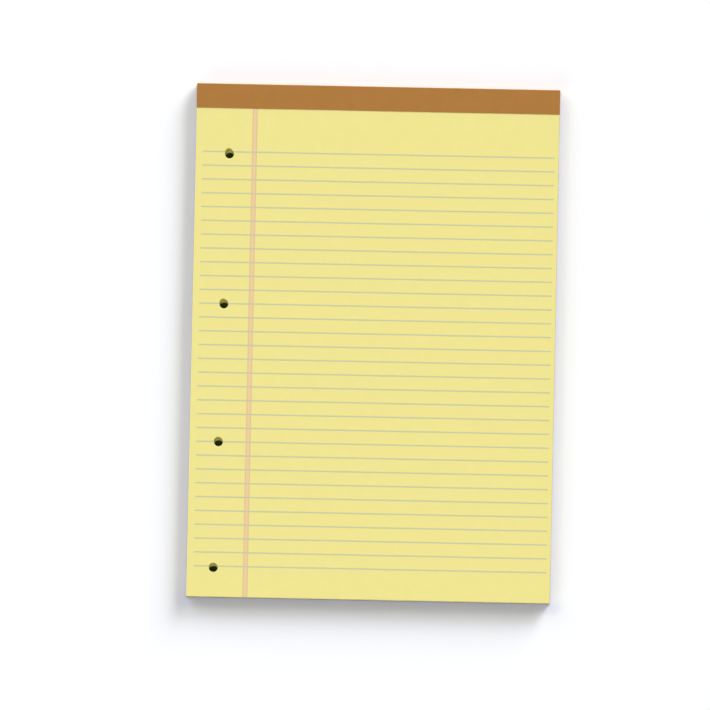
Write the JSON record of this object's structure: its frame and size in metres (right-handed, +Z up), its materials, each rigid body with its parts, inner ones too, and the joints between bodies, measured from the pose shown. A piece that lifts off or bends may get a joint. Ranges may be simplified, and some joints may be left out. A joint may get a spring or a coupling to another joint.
{
  "type": "ruled writing pad",
  "caption": "Yellow A4 writing pad bound at the head with brown tape, ruled with a double red margin, punched at the side and backed with grey board.",
  "frame": {"origin": "under the middle of the pad, on the surface that it lies on", "axes": "+X across the page to the right, +Y towards the bound head, +Z up out of the page"},
  "size_m": [0.21, 0.2972, 0.0084],
  "materials": {
    "page_paper": "matte",
    "grey_board": "matte",
    "brown_tape": "satin",
    "staple_wire": "satin",
    "rule_ink": "matte",
    "margin_ink": "matte",
    "margin_tint": "matte"
  },
  "bodies": {
    "root": {"page_block": "page_paper", "backing_board": "grey_board", "binding_tape": "brown_tape", "staples": "staple_wire", "ruled_lines": "rule_ink", "margin_lines": "margin_ink", "margin_tint": "margin_tint"}
  },
  "joints": []
}
